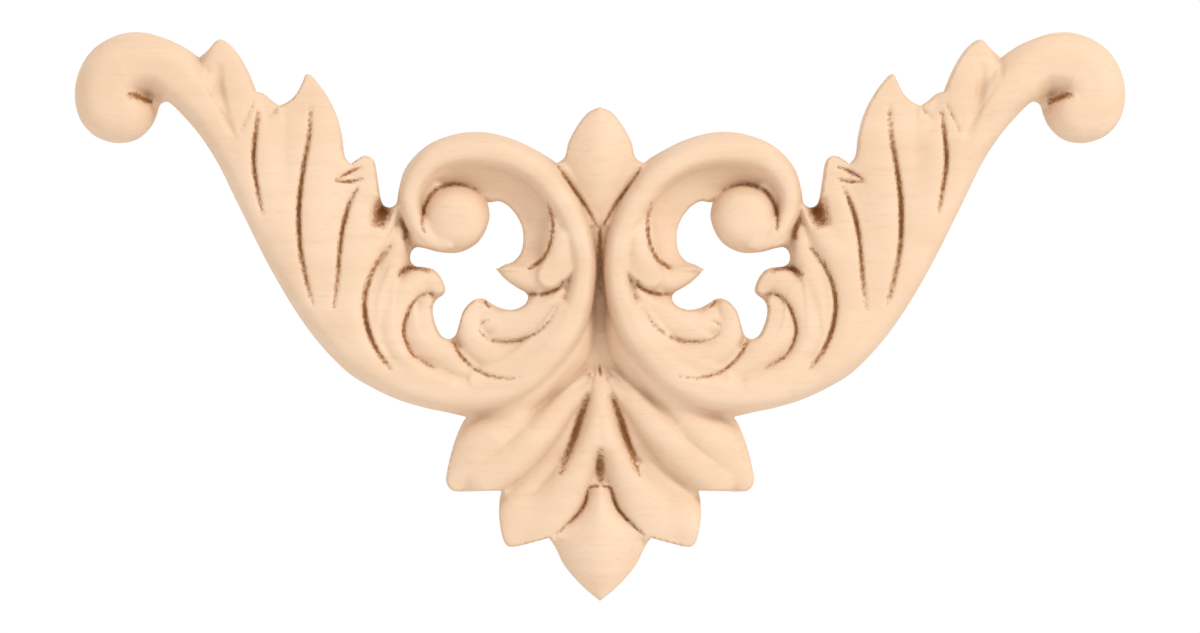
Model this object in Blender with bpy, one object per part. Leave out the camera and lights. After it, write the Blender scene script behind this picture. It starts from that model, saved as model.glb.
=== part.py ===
"""Carved wooden corner onlay: two arms of scrolled acanthus leaf that meet over a palmette.

Metres, +Z up. The carved face looks along -Y, the flat back lies on the plane y = 0, and the origin is in
the middle of the back. The right half is drawn, and the left half is its mirror.
"""
import bmesh
import bpy
import numpy as np

NAME = "corner_onlay"

# Driving sizes
WIDTH = 0.200             # across the two end curls
RELIEF = 0.012            # from the flat back to the tops of the rings
RIM = 0.0042              # thickness left along the outline
RIM_ROUND = 0.0026        # how far in from the outline its rounding reaches
FLOOR = 0.0036            # height of the lowest ground
THINNEST = 0.0015         # wood left under the deepest cut
BLEND = 0.0005            # how softly neighbouring strips run together
EDGE_FALL = 3.0           # how steeply a strip falls away beyond its own edge
CELL = 0.0006             # spacing of the grid that the surface is cut from
FACE_TRIANGLES = 7200     # left in the carved face after thinning

# The drawing below is in millimetres of an onlay 200 mm wide: across from the middle, and up.
DRAWN_WIDTH = 200.0

# The outline of the right half, from the bud's tip round to the palmette's. Its smooth runs meet in corners.
OUTLINE = {
    "bud": [(0.0, 39.9), (2.2, 38.9), (4.2, 36.5), (5.9, 33.4), (6.7, 30.4), (8.2, 29.2)],
    "ring": [
        (8.2, 29.2), (10.4, 30.7), (15.6, 33.4), (21.1, 35.0), (26.2, 35.0), (31.4, 33.4), (34.8, 31.0),
        (37.2, 27.9), (38.3, 24.2), (38.6, 22.0), (39.1, 21.2), (40.1, 20.8), (41.2, 21.2), (41.8, 22.4),
        (42.3, 25.5), (42.7, 28.2), (43.1, 29.7), (43.9, 30.5), (45.0, 30.6), (46.4, 29.8), (47.5, 29.0),
    ],
    "tall_leaf": [
        (47.5, 29.0), (48.7, 30.7), (49.2, 34.5), (50.3, 38.6), (52.3, 42.5), (54.1, 44.9), (55.1, 46.0),
        (56.0, 46.0), (56.6, 44.6), (57.7, 42.5), (59.2, 41.0), (61.0, 40.1),
    ],
    "small_leaf": [(61.0, 40.1), (62.6, 41.2), (64.0, 42.4), (65.5, 42.9)],
    "end_leaf": [
        (65.5, 42.9), (66.3, 44.9), (67.3, 47.2), (68.8, 49.8), (70.2, 51.5), (71.6, 52.6), (72.6, 52.7),
        (73.5, 52.0), (74.5, 50.8), (76.3, 49.3),
    ],
    "curl_and_stem": [
        (76.3, 49.3), (79.5, 51.5), (82.9, 53.0), (86.4, 54.0), (89.8, 54.05), (93.2, 53.0), (96.7, 50.6),
        (99.1, 46.8), (99.95, 42.3), (99.1, 37.9), (96.7, 34.8), (93.9, 33.4), (91.1, 33.1), (88.1, 33.9),
        (85.7, 36.1), (84.6, 38.3), (84.0, 40.2), (83.1, 40.9), (81.9, 40.7), (79.5, 38.4), (76.0, 34.3),
        (72.6, 29.0), (69.2, 22.1), (62.3, 8.4), (55.4, -2.6), (48.6, -10.1), (43.4, -13.5), (38.2, -15.9),
        (33.1, -17.4), (29.7, -18.1), (25.4, -19.1),
    ],
    "outer_palm": [
        (25.4, -19.1), (26.5, -20.8), (28.0, -24.8), (29.2, -29.8), (29.2, -31.7),
        (28.4, -32.9), (26.9, -33.3), (22.8, -33.2), (18.7, -33.1),
    ],
    "middle_palm": [
        (18.7, -33.1), (19.1, -34.9), (19.2, -38.0), (18.7, -41.5), (17.8, -43.5), (16.3, -43.8),
        (12.9, -43.0), (9.7, -42.1),
    ],
    "tip_palm": [(9.7, -42.1), (8.5, -43.9), (7.0, -47.0), (4.9, -49.7), (2.5, -52.1), (0.0, -54.1)],
}

# The pierced gap inside a scroll, clockwise from the tip of its tongue
GAP = {
    "under_tongue": [
        (19.6, 9.0), (19.0, 8.1), (17.4, 6.6), (15.6, 5.4), (14.2, 4.6), (13.7, 3.6),
        (14.3, 2.3), (15.8, 1.5), (17.4, 1.3), (19.4, 1.8), (21.0, 2.7), (22.0, 3.4),
    ],
    "inner_hook": [
        (22.0, 3.4), (23.4, 3.4), (24.9, 2.5), (26.1, 0.9), (26.8, -1.4), (27.5, -3.5), (28.8, -4.3),
        (30.3, -3.6), (31.4, -1.4), (31.9, 0.9), (31.7, 2.4), (31.0, 3.4), (29.9, 4.2), (29.5, 5.1),
        (29.9, 6.6), (30.7, 8.0), (31.8, 9.0), (33.4, 9.4), (35.1, 9.6), (36.1, 10.5), (36.1, 12.1),
        (35.1, 13.2), (33.3, 13.0), (30.6, 12.3), (27.0, 12.2), (23.8, 13.7), (22.0, 16.0), (21.1, 18.7),
        (21.2, 20.6), (21.6, 22.0),
    ],
    "cove": [
        (21.6, 22.0), (20.7, 21.8), (19.2, 22.0), (17.4, 21.0), (15.8, 19.1), (14.8, 16.9), (14.6, 14.4),
        (15.1, 12.1), (16.5, 10.5), (18.3, 9.8), (19.6, 9.0),
    ],
}

# Sections across a strip: (squareness of its edge, squareness of its crest)
ROUND = (2.0, 2.0)
DOMED = (2.6, 2.2)
FLAT_TOPPED = (3.0, 2.0)
LEAF = (2.2, 1.6)
KEELED = (1.7, 1.3)
HOLLOW = (2.0, 1.0)

# Strips of carving: each point is (across, up, half width). All heights are parts of RELIEF: the crest's are
# spread evenly along its strip, and the edges are what it falls to on its right and left hand.
STRIPS = {
    "scroll": {
        "crest": (0.76, 0.93, 1.0, 0.95, 0.91, 0.86, 0.82, 0.77, 0.8, 0.89, 0.87),
        "section": FLAT_TOPPED,
        "edges": (0.35, 0.35),
        "points": [
            (28.4, 13.4, 1.0), (32.6, 15.0, 2.0), (35.8, 19.7, 2.2), (35.3, 25.5, 2.5), (30.0, 30.7, 3.2),
            (20.0, 31.1, 3.2), (11.8, 27.3, 3.1), (6.1, 20.0, 3.0), (3.1, 10.4, 2.6), (5.1, 0.0, 3.1),
            (10.1, -7.5, 3.6), (17.4, -12.9, 3.8), (26.2, -14.5, 3.8), (37.0, -12.1, 3.8),
            (49.3, -3.5, 3.9), (62.1, 16.7, 4.1), (69.0, 31.1, 4.2), (76.1, 41.7, 4.8),
            (84.0, 47.5, 5.8), (91.2, 47.2, 6.2), (93.8, 43.1, 6.1), (93.0, 40.0, 6.4), (91.3, 39.3, 6.2),
        ],
    },
    "eye": {
        "crest": (0.88, 0.88),
        "section": DOMED,
        "edges": (0.42, 0.42),
        "points": [(27.5, 18.6, 6.3), (27.3, 18.6, 6.3)],
    },
    "cove": {
        "crest": (-0.02, -0.05, -0.08, -0.07, -0.02),
        "section": HOLLOW,
        "edges": (0.72, 0.4),
        "points": [
            (34.4, 21.6, 0.4), (32.2, 24.4, 1.0), (30.0, 25.7, 1.6), (26.2, 26.6, 2.2), (20.6, 25.7, 3.2),
            (15.2, 22.8, 3.5), (12.4, 19.3, 3.5), (11.8, 15.6, 3.3), (13.0, 12.1, 2.9), (18.3, 9.7, 0.8),
        ],
    },
    "end_leaf": {
        "crest": (0.7, 0.8, 0.82, 0.8),
        "section": LEAF,
        "edges": (0.62, 0.6),
        "points": [
            (72.2, 51.0, 2.2), (71.4, 48.0, 4.6), (70.0, 42.5, 5.4), (67.3, 34.0, 4.9), (61.6, 17.3, 4.5),
        ],
    },
    "small_leaf": {
        "crest": (0.68, 0.78, 0.8, 0.78),
        "section": LEAF,
        "edges": (0.66, 0.62),
        "points": [(63.6, 41.0, 2.2), (63.5, 38.0, 3.2), (63.2, 28.3, 3.6), (60.6, 17.3, 3.8)],
    },
    "tall_leaf": {
        "crest": (0.62, 0.76, 0.82, 0.84, 0.84, 0.82),
        "section": LEAF,
        "edges": (0.6, 0.62),
        "points": [
            (55.5, 45.0, 1.8), (55.2, 41.3, 4.6), (55.2, 36.2, 6.8), (55.6, 29.3, 8.0),
            (55.2, 13.8, 7.4), (45.8, -5.1, 4.8),
        ],
    },
    "middle_leaf": {
        "crest": (0.62, 0.76, 0.82, 0.84, 0.84),
        "section": LEAF,
        "edges": (0.6, 0.64),
        "points": [
            (44.3, 29.4, 2.0), (45.0, 27.0, 3.6), (45.8, 21.4, 4.6), (47.7, 12.1, 5.2),
            (46.8, -1.6, 5.2), (43.1, -7.5, 4.1),
        ],
    },
    "low_leaf": {
        "crest": (0.68, 0.78, 0.82, 0.82, 0.82),
        "section": LEAF,
        "edges": (0.6, 0.62),
        "points": [
            (38.4, 20.8, 0.6), (41.6, 16.2, 2.2), (45.6, 8.7, 3.6), (45.8, -1.6, 3.8), (43.1, -6.8, 3.1),
        ],
    },
    "inner_leaf": {
        "crest": (0.62, 0.72, 0.78, 0.78),
        "section": LEAF,
        "edges": (0.58, 0.6),
        "points": [(38.3, 16.2, 1.0), (39.6, 10.4, 2.6), (42.0, 4.0, 2.2), (42.8, -2.4, 1.2)],
    },
    "outer_hook": {
        "crest": (0.68, 0.76, 0.82, 0.84, 0.84),
        "section": LEAF,
        "edges": (0.62, 0.66),
        "points": [
            (30.8, 5.3, 1.2), (32.6, 6.7, 2.0), (35.0, 6.2, 2.4), (37.6, 3.3, 2.6),
            (39.4, -1.8, 2.6), (38.2, -6.6, 2.4), (34.3, -10.4, 2.2), (28.5, -12.6, 1.8),
        ],
    },
    "outer_pad": {
        "crest": (0.66, 0.74, 0.8, 0.82),
        "section": LEAF,
        "edges": (0.64, 0.6),
        "points": [(32.9, 2.2, 1.4), (34.0, -1.6, 2.7), (31.4, -6.2, 3.2), (24.8, -10.6, 2.4)],
    },
    "inner_hook": {
        "crest": (0.7, 0.78, 0.83, 0.86, 0.87),
        "section": LEAF,
        "edges": (0.66, 0.62),
        "points": [
            (23.9, 2.2, 1.2), (25.0, -1.0, 2.1), (23.6, -5.2, 2.7), (19.0, -8.2, 3.2),
            (13.4, -7.4, 3.2), (9.2, -3.4, 2.8), (6.9, 1.6, 1.8),
        ],
    },
    "inner_pad": {
        "crest": (0.72, 0.76, 0.8, 0.82),
        "section": LEAF,
        "edges": (0.62, 0.62),
        "points": [(21.4, -1.0, 1.8), (17.0, -1.6, 3.2), (11.4, 0.4, 3.0), (7.4, 4.6, 1.2)],
    },
    "tongue": {
        "crest": (0.62, 0.72, 0.8, 0.86, 0.9),
        "section": LEAF,
        "edges": (0.6, 0.6),
        "points": [(18.8, 9.2, 0.7), (16.4, 8.0, 1.6), (12.6, 7.0, 2.4), (8.6, 9.4, 2.8), (7.0, 15.0, 2.6)],
    },
    "bud": {
        "crest": (0.56, 0.7, 0.78, 0.78, 0.7, 0.58),
        "section": KEELED,
        "edges": (0.48, 0.48),
        "points": [
            (0.0, 39.5, 0.8), (0.0, 37.9, 3.3), (0.0, 34.5, 5.8), (0.0, 27.6, 7.3),
            (0.0, 19.3, 4.8), (0.0, 16.6, 3.1),
        ],
    },
    "outer_palm": {
        "crest": (0.38, 0.54, 0.65, 0.72, 0.72, 0.66),
        "section": LEAF,
        "edges": (0.46, 0.5),
        "points": [
            (2.2, -11.2, 0.6), (4.1, -13.8, 1.6), (6.9, -16.9, 2.3), (10.4, -21.0, 3.2),
            (15.6, -26.4, 3.7), (22.0, -31.2, 3.4),
        ],
    },
    "far_palm": {
        "crest": (0.42, 0.62, 0.7, 0.66, 0.56),
        "section": LEAF,
        "edges": (0.5, 0.44),
        "points": [
            (11.6, -15.4, 1.4), (17.0, -20.0, 3.2), (21.4, -24.0, 4.6),
            (25.0, -28.4, 4.4), (27.6, -31.4, 2.2),
        ],
    },
    "rib": {
        "crest": (0.4, 0.6, 0.72, 0.74),
        "section": LEAF,
        "edges": (0.46, 0.46),
        "points": [(0.0, -10.6, 0.6), (0.0, -14.4, 1.7), (0.0, -19.0, 2.8), (0.0, -24.4, 3.0)],
    },
    "middle_palm": {
        "crest": (0.7, 0.74, 0.72, 0.68, 0.6, 0.54),
        "section": LEAF,
        "edges": (0.5, 0.46),
        "points": [
            (1.2, -20.0, 1.8), (2.2, -24.4, 2.4), (4.4, -29.2, 3.2),
            (7.8, -34.6, 4.2), (11.8, -39.2, 4.6), (15.6, -42.0, 3.6),
        ],
    },
    "low_palm": {
        "crest": (0.42, 0.5, 0.58, 0.56),
        "section": LEAF,
        "edges": (0.4, 0.4),
        "points": [(8.8, -28.6, 1.4), (12.6, -33.2, 2.8), (15.6, -37.2, 3.6), (17.0, -41.0, 3.0)],
    },
    "between_rings": {
        "crest": (0.64, 0.6, 0.5, 0.36, 0.22),
        "section": ROUND,
        "edges": (0.3, 0.3),
        "points": [(0.0, 16.0, 1.0), (0.0, 10.0, 1.2), (0.0, 4.0, 1.4), (0.0, -2.0, 1.5)],
    },
    "ring_skirt": {
        "crest": (0.32, 0.55, 0.66, 0.66, 0.62, 0.5),
        "section": KEELED,
        "edges": (0.3, 0.3),
        "points": [
            (2.0, 6.0, 1.0), (3.2, -1.4, 2.4), (6.2, -7.8, 3.6),
            (11.6, -13.4, 3.8), (18.0, -16.8, 3.6), (25.0, -18.0, 2.6),
        ],
    },
    "tip_palm": {
        "crest": (0.6, 0.68, 0.68, 0.62, 0.44),
        "section": KEELED,
        "edges": (0.35, 0.35),
        "points": [
            (0.0, -32.6, 2.2), (0.0, -37.7, 4.5), (0.0, -40.4, 7.2), (0.0, -42.5, 9.4),
            (0.0, -45.3, 8.2), (0.0, -50.8, 4.3), (0.0, -53.8, 0.8),
        ],
    },
}

# Broad beds that the strips stand on: (height, points)
BEDS = {
    "arm": (0.64, [
        (74.5, 45.0, 3.0), (68.0, 38.0, 5.0), (60.5, 29.0, 9.5), (55.0, 18.0, 10.0),
        (50.0, 6.0, 8.5), (44.0, -5.0, 6.0), (38.0, -10.0, 4.0),
    ]),
    "lobes": (0.7, [
        (39.5, 3.0, 4.0), (37.5, -5.0, 4.0), (30.0, -10.4, 3.6),
        (20.0, -8.2, 4.5), (12.0, -4.0, 5.0), (8.0, 3.0, 4.0),
    ]),
    "outer_lobe": (0.64, [(35.4, 3.5, 3.0), (33.4, -4.0, 3.0), (29.0, -8.8, 3.0)]),
    "inner_lobe": (0.66, [(23.2, -0.5, 3.0), (18.5, -3.0, 3.5), (11.5, 0.0, 3.5)]),
    "tongue_root": (0.84, [(7.0, 17.0, 2.4), (7.4, 11.0, 3.0), (9.5, 7.8, 2.2)]),
    "hook_root": (0.84, [(7.4, 0.6, 1.8), (10.8, -5.4, 2.8), (16.0, -9.6, 2.6), (23.0, -11.8, 1.8)]),
    "eye_foot": (0.74, [(30.0, 13.7, 1.4), (33.0, 15.6, 2.2), (34.6, 18.0, 1.4)]),
    "bud_foot": (0.62, [(7.4, 27.2, 1.5), (4.4, 22.9, 1.4), (1.6, 18.6, 1.2)]),
    "eye_side": (0.6, [(31.2, 24.4, 0.9), (33.2, 22.0, 1.0), (34.0, 18.5, 1.0)]),
    "band_foot": (0.76, [(39.2, 8.6, 1.0), (40.6, 3.0, 1.5), (40.9, -3.0, 1.5)]),
    "pocket_foot": (0.56, [(38.4, 19.8, 0.9), (37.2, 16.6, 0.9)]),
    "curl_inside": (0.54, [(85.8, 41.6, 1.2), (87.4, 41.6, 1.4)]),
    "slit_foot": (0.5, [(0.0, -26.4, 1.0), (0.0, -31.6, 1.4)]),
    "tip_foot": (0.5, [(1.8, -32.8, 1.3), (3.4, -36.4, 1.5), (7.0, -40.6, 1.6)]),
    "palmette": (0.44, [(1.0, -15.0, 2.5), (7.0, -20.5, 4.5), (14.0, -26.5, 6.0), (9.5, -36.0, 6.5)]),
}

# Cuts of the tool: (half width and depth in millimetres, where along it the cut is deepest, points)
CUTS = {
    "curl_dish": (2.6, 1.5, 0.5, [(83.6, 41.2), (86.2, 43.0), (88.6, 42.2)]),
    "curl": (0.7, 1.4, 0.6, [(84.6, 40.5), (86.4, 41.2), (88.0, 41.9), (89.8, 42.2)]),
    "neck": (0.7, 0.55, 0.5, [(76.3, 49.9), (76.2, 47.5), (75.9, 44.4)]),
    "end_leaf": (1.1, 0.95, 0.4, [(72.5, 48.2), (72.2, 43.0), (71.0, 38.0), (69.4, 33.4)]),
    "stem_edge": (0.4, 0.4, 0.4, [(75.6, 44.6), (72.0, 39.0), (68.6, 33.2)]),
    "leaf_fold": (0.35, 0.45, 0.4, [(65.4, 41.0), (67.0, 37.6), (68.6, 34.2)]),
    "small_leaf": (0.5, 1.4, 0.4, [(64.7, 39.2), (65.3, 34.8), (65.7, 30.0), (65.2, 25.4), (64.0, 19.0)]),
    "small_fold": (0.35, 0.45, 0.3, [(61.0, 39.6), (62.4, 38.2), (63.6, 37.4)]),
    "tall_leaf": (0.55, 1.6, 0.5, [
        (54.9, 40.4), (55.2, 34.4), (56.3, 28.0), (57.1, 21.0), (56.9, 13.4), (55.8, 7.4), (54.4, 1.8),
    ]),
    "middle_fold": (0.35, 0.7, 0.5, [(44.9, 28.6), (47.6, 27.4), (50.4, 25.8)]),
    "middle_hook": (0.35, 0.7, 0.5, [(44.8, 26.2), (47.6, 25.6), (50.4, 25.7)]),
    "middle_leaf": (0.5, 1.3, 0.3, [
        (45.9, 24.8), (47.6, 21.2), (48.8, 17.0), (49.4, 12.4), (49.8, 7.0), (50.6, 1.0),
    ]),
    "pocket": (1.8, 4.0, 0.45, [(40.9, 22.6), (41.4, 19.8), (42.3, 16.8)]),
    "low_pocket": (0.55, 1.1, 0.6, [(38.0, 19.0), (37.4, 17.4), (36.9, 16.0), (37.2, 14.4)]),
    "low_leaf": (0.55, 1.5, 0.65, [
        (39.2, 14.0), (42.4, 10.0), (44.3, 5.4), (44.7, 1.4), (43.9, -2.8), (42.2, -6.6), (39.4, -10.3),
    ]),
    "hook_top": (0.55, 1.4, 0.7, [(32.1, 8.4), (34.3, 9.2), (36.8, 9.0), (38.6, 7.6)]),
    "outer_hook": (0.42, 0.9, 0.4, [
        (31.0, 4.2), (33.3, 4.3), (35.4, 2.7), (36.9, -0.5),
        (37.2, -3.5), (35.9, -6.6), (33.8, -8.4), (30.7, -10.2),
    ]),
    "inner_hook": (0.42, 0.7, 0.55, [
        (8.0, 2.0), (9.2, -0.3), (11.3, -2.5), (14.4, -4.3),
        (17.4, -4.8), (20.5, -4.5), (22.5, -3.1), (22.9, -1.7),
    ]),
    "hook_curl": (0.3, 0.45, 0.3, [(22.9, -1.9), (22.2, -1.1), (20.8, -0.5)]),
    "hook_tip": (0.4, 0.7, 0.3, [(22.0, 3.4), (21.6, 2.4), (20.6, 1.6)]),
    "under_hook": (0.45, 0.8, 0.2, [
        (28.6, -4.4), (27.7, -5.2), (26.6, -7.2), (24.1, -9.7), (21.0, -11.2), (17.4, -11.7), (14.6, -11.3),
    ]),
    "cove_end": (0.5, 1.0, 0.85, [
        (10.0, 22.0), (9.1, 18.8), (9.1, 15.8), (9.8, 12.8), (11.3, 10.5), (13.8, 9.0),
    ]),
    "tongue": (0.45, 0.85, 0.4, [(6.8, 7.0), (7.6, 5.6), (9.2, 4.7), (11.5, 4.2), (14.2, 4.3)]),
    "eye": (0.42, 0.9, 0.75, [
        (22.4, 23.4), (25.0, 24.7), (28.4, 25.1), (31.4, 23.8), (33.3, 21.0), (33.7, 18.4), (33.3, 15.8),
    ]),
    "ring_base": (0.9, 0.5, 0.7, [(14.0, -16.6), (19.6, -18.8), (25.0, -19.6)]),
    "outer_palm": (1.1, 0.9, 0.5, [(3.0, -8.4), (6.4, -11.8), (9.6, -15.3), (12.4, -18.5), (14.4, -21.0)]),
    "palm_vein": (0.35, 0.3, 0.2, [(14.4, -21.0), (18.0, -24.5), (25.0, -30.0)]),
    "middle_palm": (0.75, 1.5, 0.4, [(1.9, -14.4), (3.6, -18.8), (5.2, -23.8), (7.6, -30.4)]),
    "valley": (1.8, 0.9, 0.4, [(0.0, 8.0), (0.0, 0.0), (0.0, -9.4)]),
    "bud": (0.42, 0.8, 0.6, [(8.6, 29.4), (5.7, 25.1), (3.1, 21.5), (0.4, 16.9)]),
    "crack": (0.5, 1.5, 0.15, [(0.0, 17.3), (0.0, 3.4)]),
    "rib_top": (0.35, 0.7, 0.5, [(0.0, -9.0), (0.0, -11.4)]),
    "slit": (0.9, 1.5, 0.55, [(0.0, -24.6), (0.0, -28.6), (0.0, -32.0)]),
    "tip_top": (0.3, 0.7, 0.5, [(0.0, -32.2), (1.2, -32.2), (2.4, -32.8)]),
    "tip_side": (0.4, 1.1, 0.3, [(2.1, -32.2), (2.8, -35.2), (3.8, -37.0), (5.6, -38.9), (8.6, -41.8)]),
}
CUT_SPREAD = 1.3          # reach of a cut's round bottom and sides, in its half widths
DISH_WIDTH = 2.6          # reach of its soft shoulders, in its half widths
DISH_DEPTH = 0.25         # and their depth, as a part of the cut's
DISH_END = 3.0            # how many times their reach they are followed out
CUT_FADE = 0.6            # how bluntly a cut ends, from 0 for square to 1 for a straight taper

UNIT = WIDTH / DRAWN_WIDTH
CURVE_STEPS = 8           # steps along a curve from one given point to the next
SNAP = 0.35               # corners this part of a cell from the outline are moved onto it
PROBE = 0.125             # how far off the outline's direction is felt for, as a part of a cell
LEAST_SLOPE = 0.3         # keeps a corner from being thrown far where two edges meet
HALVINGS = 8              # to find where an edge crosses the outline
TOUCHING = 1e-7           # places this close together are one


def smooth_line(points):
    """Points of a smooth curve through the given points, with whatever else each of them carries."""
    given = np.array(points, dtype=float) * UNIT
    run = np.vstack([2 * given[0] - given[1], given, 2 * given[-1] - given[-2]])
    t = np.linspace(0.0, 1.0, CURVE_STEPS, endpoint=False)[:, None]
    pieces = []
    for before, start, end, after in zip(run, run[1:], run[2:], run[3:]):
        leave = (end - before) / 2
        arrive = (after - start) / 2
        bend = 3 * (end - start) - 2 * leave - arrive
        twist = 2 * (start - end) + leave + arrive
        pieces.append(start + leave * t + bend * t ** 2 + twist * t ** 3)
    return np.vstack(pieces + [given[-1:]])


def beside(line, places, reach):
    """What lies within reach of the line: which places, with their distance, side, way along, half width."""
    low = line[:, :2].min(axis=0) - reach
    high = line[:, :2].max(axis=0) + reach
    near = np.flatnonzero(np.all((places >= low) & (places <= high), axis=1))
    spot = places[near]
    lengths = np.hypot(*np.diff(line[:, :2], axis=0).T)
    way = np.concatenate([[0.0], np.cumsum(lengths)]) / lengths.sum()
    distance = np.full(len(near), np.inf)
    side = np.ones(len(near))
    part = np.zeros(len(near))
    half = np.zeros(len(near))
    for i in np.flatnonzero(lengths):
        length = lengths[i]
        step = line[i + 1] - line[i]
        away = spot - line[i, :2]
        t = np.clip(away @ step[:2] / length ** 2, 0.0, 1.0)
        off = away - t[:, None] * step[:2]
        gap = np.hypot(off[:, 0], off[:, 1])
        closer = gap < distance
        turn = step[0] * off[:, 1] - step[1] * off[:, 0]
        distance = np.where(closer, gap, distance)
        side = np.where(closer, np.where(turn >= 0, 1.0, -1.0), side)
        part = np.where(closer, way[i] + t * (way[i + 1] - way[i]), part)
        if line.shape[1] > 2:
            half = np.where(closer, line[i, 2] + t * step[2], half)
    return near, distance, side, part, half


def joined(runs):
    """The smooth runs of an outline as one row of points, where each run ends at the start of the next."""
    return np.vstack([smooth_line(run) for run in runs.values()])


def inside_loop(places, loop):
    """Whether each place is inside the closed loop of points."""
    inside = np.zeros(len(places), dtype=bool)
    for start, end in zip(loop, np.roll(loop, -1, axis=0)):
        if start[1] == end[1]:
            continue
        crosses = (start[1] > places[:, 1]) != (end[1] > places[:, 1])
        where = start[0] + (places[:, 1] - start[1]) * (end[0] - start[0]) / (end[1] - start[1])
        inside ^= crosses & (places[:, 0] < where)
    return inside


def inside_depth(places):
    """How far each place lies inside the wood, negative outside it, out to RIM_ROUND on either hand."""
    depth = np.full(len(places), RIM_ROUND)
    in_wood = np.ones(len(places), dtype=bool)
    for line, wood_is_inside in ((joined(OUTLINE), True), (joined(GAP), False)):
        near, distance, *_ = beside(line, places, RIM_ROUND)
        depth[near] = np.minimum(depth[near], distance)
        in_wood &= inside_loop(places + (TOUCHING, 0.0), line) == wood_is_inside
    return np.where(in_wood, depth, -depth)


def add_band(total, places, line, crest, section, edges):
    """Adds one strip or bed to the running soft maximum of their heights."""
    near, distance, side, part, half = beside(line, places, line[:, 2].max() + RIM_ROUND)
    across = np.minimum(distance / half, 1.0)
    edge = edges[0] + (edges[1] - edges[0]) * (1 + side * across) / 2
    top = np.interp(part, np.linspace(0, 1, len(crest)), crest)
    rise = top if section is HOLLOW else top - edge
    height = RELIEF * (edge + rise * (1 - across ** section[0]) ** (1 / section[1]))
    height += EDGE_FALL * np.minimum(half - distance, 0.0)
    total[near] += np.exp(height / BLEND)


def rim_limit(depth):
    """The most height that the rounding of the outline leaves at each depth inside it."""
    inward = 1 - np.clip(depth / RIM_ROUND, 0.0, 1.0)
    return RIM + RELIEF * np.sqrt(1 - inward ** 2)


def cut_fade(part, deepest):
    """A cut's strength along its length: full where it is deepest, fading to nothing at both ends."""
    return np.maximum(np.minimum(part / deepest, (1 - part) / (1 - deepest)), 0.0) ** CUT_FADE


def carved_height(places):
    """Height of the carving over each place."""
    total = np.full(len(places), np.exp(FLOOR / BLEND))
    for strip in STRIPS.values():
        line = smooth_line(strip["points"])
        add_band(total, places, line, strip["crest"], strip["section"], strip["edges"])
    for height, points in BEDS.values():
        add_band(total, places, smooth_line(points), (height, height), ROUND, (height, height))
    limit = rim_limit(inside_depth(places))
    height = -BLEND * np.log(1 / total + np.exp(-limit / BLEND))
    for half_width, depth, deepest, points in CUTS.values():
        width = half_width * UNIT
        near, distance, _, part, _ = beside(smooth_line(points), places, DISH_END * DISH_WIDTH * width)
        cut = np.maximum(1 - (distance / (CUT_SPREAD * width)) ** 2, 0.0) ** 2
        dish = DISH_DEPTH * np.exp(-(distance / (DISH_WIDTH * width)) ** 2)
        height[near] -= depth * UNIT * cut_fade(part, deepest) * (cut + dish)
    return np.maximum(height, THINNEST)


def plan_places(verts):
    return np.array([vert.co.xz for vert in verts])


def grid_over_half(bm):
    """A flat grid over the right half, with its first column on the middle line."""
    outline = joined(OUTLINE)
    across = int(np.ceil(outline[:, 0].max() / CELL)) + 2
    bottom = int(np.floor(outline[:, 1].min() / CELL)) - 2
    top = int(np.ceil(outline[:, 1].max() / CELL)) + 2
    bmesh.ops.create_grid(bm, x_segments=across, y_segments=top - bottom, size=1.0)
    for vert in bm.verts:
        vert.co.z = (bottom + (vert.co.y + 1) / 2 * (top - bottom)) * CELL
        vert.co.x = (vert.co.x + 1) / 2 * across * CELL
        vert.co.y = 0.0


def snap_to_outline(bm):
    """Moves the grid's corners that are nearly on the outline onto it, and returns each corner's depth."""
    places = plan_places(bm.verts)
    probe = PROBE * CELL
    depth = inside_depth(places)
    close = np.flatnonzero(np.abs(depth) < SNAP * CELL)
    for _ in range(2):
        spot = places[close]
        here = inside_depth(spot)
        slope = np.stack([
            inside_depth(spot + (probe, 0.0)) - here,
            inside_depth(spot + (0.0, probe)) - here,
        ], axis=1) / probe
        slope[spot[:, 0] < probe, 0] = 0.0
        steepness = np.maximum((slope ** 2).sum(axis=1), LEAST_SLOPE)
        places[close] = spot - (here / steepness)[:, None] * slope
    depth[close] = 0.0
    for vert, (x, z) in zip(bm.verts, places):
        vert.co.x = x
        vert.co.z = z
    return depth


def trim_to_outline(bm):
    """Cuts the grid along the outline and drops what lies outside."""
    depth = snap_to_outline(bm)
    bm.verts.ensure_lookup_table()
    bm.verts.index_update()
    on_outline = [vert for vert in bm.verts if depth[vert.index] == 0.0]
    crossing = []
    for edge in bm.edges:
        inner, outer = sorted(edge.verts, key=lambda vert: -depth[vert.index])
        if depth[inner.index] > 0 > depth[outer.index]:
            crossing.append((edge, inner, outer))
    near = plan_places([inner for _, inner, _ in crossing])
    far = plan_places([outer for _, _, outer in crossing])
    low = np.zeros(len(crossing))
    high = np.ones(len(crossing))
    for _ in range(HALVINGS):
        middle = (low + high) / 2
        outside = inside_depth(near + middle[:, None] * (far - near)) < 0
        high = np.where(outside, middle, high)
        low = np.where(outside, low, middle)
    for (edge, inner, _), t in zip(crossing, low):
        _, vert = bmesh.utils.edge_split(edge, inner, t)
        on_outline.append(vert)
    bmesh.ops.connect_verts(bm, verts=on_outline)
    centres = np.array([face.calc_center_median().xz for face in bm.faces])
    outside = [face for face, inside in zip(bm.faces, inside_depth(centres)) if inside < 0]
    bmesh.ops.delete(bm, geom=outside, context="FACES")
    drop_pinched_slivers(bm)


def drop_pinched_slivers(bm):
    """Drops the smallest face wherever the rim touches itself at one corner."""
    while True:
        pinched = [vert for vert in bm.verts if sum(edge.is_boundary for edge in vert.link_edges) > 2]
        if not pinched:
            return
        slivers = {min(vert.link_faces, key=lambda face: face.calc_area()) for vert in pinched}
        bmesh.ops.delete(bm, geom=list(slivers), context="FACES")


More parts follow.
